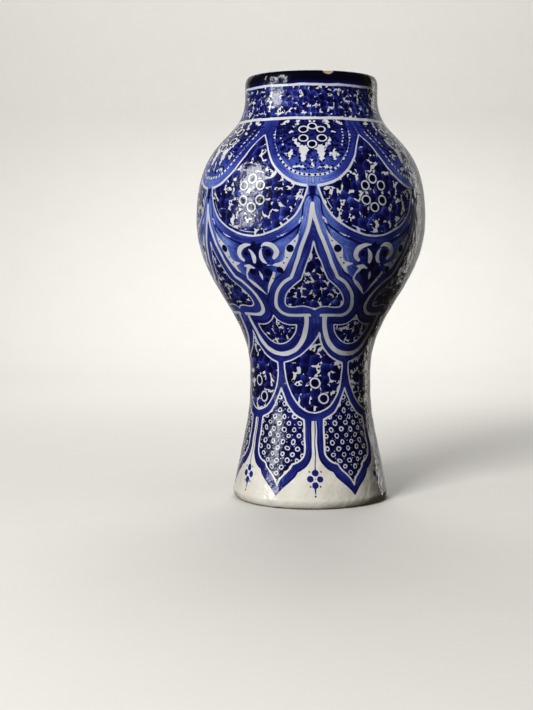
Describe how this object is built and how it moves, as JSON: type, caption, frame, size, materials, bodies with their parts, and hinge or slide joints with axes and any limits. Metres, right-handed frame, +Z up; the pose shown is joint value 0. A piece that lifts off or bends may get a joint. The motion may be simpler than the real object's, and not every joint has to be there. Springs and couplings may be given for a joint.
{
  "type": "glazed pottery vase",
  "caption": "Tall waisted vase with a spreading foot, a round belly and a short upright neck, painted in cobalt blue over a white tin glaze.",
  "frame": {"origin": "centre of the foot, on the surface that the vase stands on", "axes": "+Z up along the vase's axis, -Y towards the side with the ogee medallion between two lappets"},
  "size_m": [0.2194, 0.2194, 0.4],
  "materials": {
    "foot_section": "glossy white tin glaze with cobalt brushwork, bare clay foot ring",
    "belly_section": "glossy white tin glaze with cobalt brushwork",
    "neck_section": "glossy white tin glaze with dense cobalt brushwork and a navy rim band"
  },
  "bodies": {
    "root": {"foot_section": "foot_section", "belly_section": "belly_section", "neck_section": "neck_section"}
  },
  "joints": []
}
